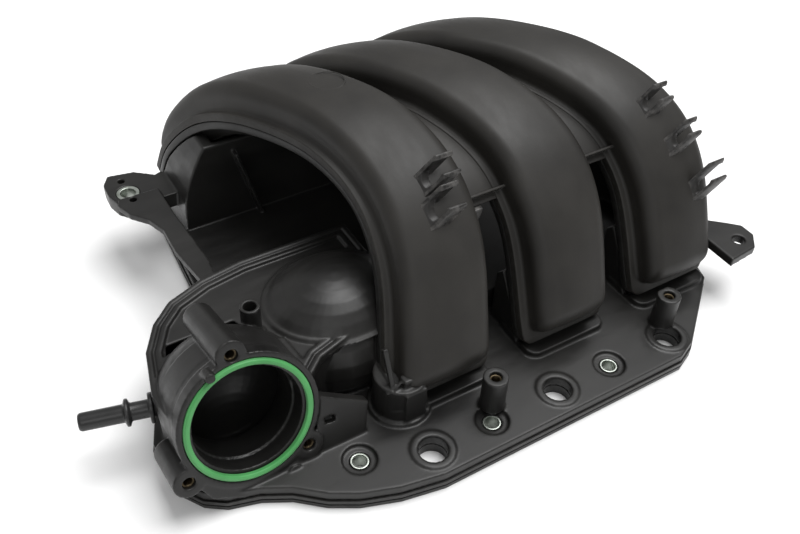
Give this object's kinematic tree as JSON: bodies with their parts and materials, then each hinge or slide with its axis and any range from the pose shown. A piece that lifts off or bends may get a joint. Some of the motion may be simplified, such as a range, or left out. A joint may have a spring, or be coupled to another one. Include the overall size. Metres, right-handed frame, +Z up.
{
  "type": "intake manifold",
  "caption": "Moulded black nylon intake manifold with arched runners over a plenum, a tilted throttle flange with a green seal, fuel-rail posts, harness clips and a head flange.",
  "frame": {"origin": "centre of the part's bounding box in X and Y, on the lowest face, which is the head flange's underside", "axes": "+X along the row of cylinders away from the throttle, +Y towards the back of the runners, +Z up and square to the head flange"},
  "size_m": [0.4074, 0.2847, 0.1345],
  "materials": {
    "cover_nylon": "fine matte moulded grain",
    "body_nylon": "satin moulded",
    "seal_rubber": "smooth",
    "zinc_steel": "zinc plated",
    "insert_brass": "knurled, dull"
  },
  "bodies": {
    "root": {"base_shell": "body_nylon", "bracket_sleeve": "zinc_steel", "flange_limiter_1": "zinc_steel", "flange_limiter_2": "zinc_steel", "flange_limiter_3": "zinc_steel", "flange_limiter_4": "zinc_steel", "flange_limiter_5": "zinc_steel", "hose_nipple": "body_nylon", "plenum_shell": "body_nylon", "port_seal_1": "seal_rubber", "port_seal_2": "seal_rubber", "port_seal_3": "seal_rubber", "rail_insert_1": "insert_brass", "rail_insert_2": "insert_brass", "runner_cover_shell": "cover_nylon", "runner_floor_shell": "body_nylon", "throttle_insert_1": "insert_brass", "throttle_insert_2": "insert_brass", "throttle_insert_3": "insert_brass", "throttle_seal": "seal_rubber"}
  },
  "joints": []
}
